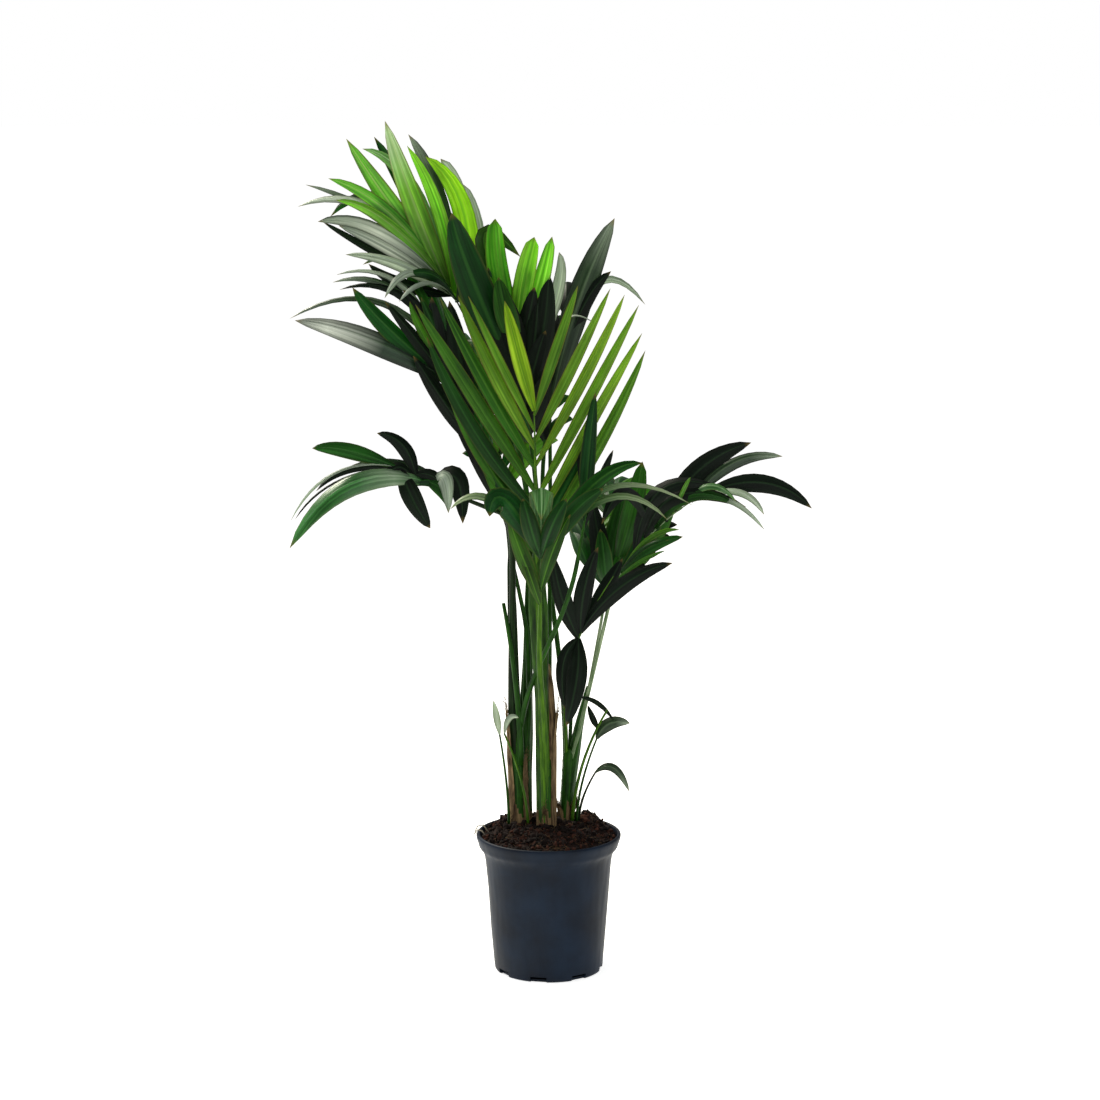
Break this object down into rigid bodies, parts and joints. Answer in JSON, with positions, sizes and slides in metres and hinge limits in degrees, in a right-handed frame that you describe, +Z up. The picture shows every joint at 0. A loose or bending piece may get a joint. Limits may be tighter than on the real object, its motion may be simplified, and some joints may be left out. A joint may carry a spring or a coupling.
{
  "type": "potted kentia palm",
  "caption": "Feather-leaved indoor palm growing as a clump of slender stems in a round plastic nursery pot with a flared lip.",
  "frame": {"origin": "middle of the pot's flat underside, on the surface the pot stands on", "axes": "+Z up, +X to the right and -Y towards the viewer in the front view"},
  "size_m": [0.721, 0.6159, 1.2193],
  "materials": {
    "pot": "dull dark blue-grey recycled plastic",
    "soil": "moist dark brown peat crumb",
    "stem": "green stems in dry tan and brown fibrous sheaths",
    "stalk": "smooth waxy green leaf stalks",
    "blade": "pleated leaflets, dark green in the shade to bright yellow-green in the light",
    "sprout": "small dark green leaves on thin stalks"
  },
  "bodies": {
    "root": {"blade_back": "blade", "blade_back_left": "blade", "blade_back_right": "blade", "blade_front_low": "blade", "blade_front_tall": "blade", "blade_left_arch": "blade", "blade_low_left": "blade", "blade_low_right": "blade", "blade_mid_right": "blade", "blade_slim": "blade", "blade_small_right": "blade", "blade_top_left": "blade", "blade_top_middle": "blade", "blade_top_right": "blade", "pot": "pot", "soil": "soil", "sprout_leaf_crossing": "sprout", "sprout_leaf_left": "sprout", "sprout_leaf_low": "sprout", "sprout_leaf_right": "sprout", "sprout_stalk_crossing": "sprout", "sprout_stalk_left": "sprout", "sprout_stalk_low": "sprout", "sprout_stalk_right": "sprout", "stalk_back": "stalk", "stalk_back_left": "stalk", "stalk_back_right": "stalk", "stalk_front_low": "stalk", "stalk_front_tall": "stalk", "stalk_left_arch": "stalk", "stalk_low_left": "stalk", "stalk_low_right": "stalk", "stalk_mid_right": "stalk", "stalk_slim": "stalk", "stalk_small_right": "stalk", "stalk_top_left": "stalk", "stalk_top_middle": "stalk", "stalk_top_right": "stalk", "stem_left": "stem", "stem_middle": "stem", "stem_right": "stem"}
  },
  "joints": []
}
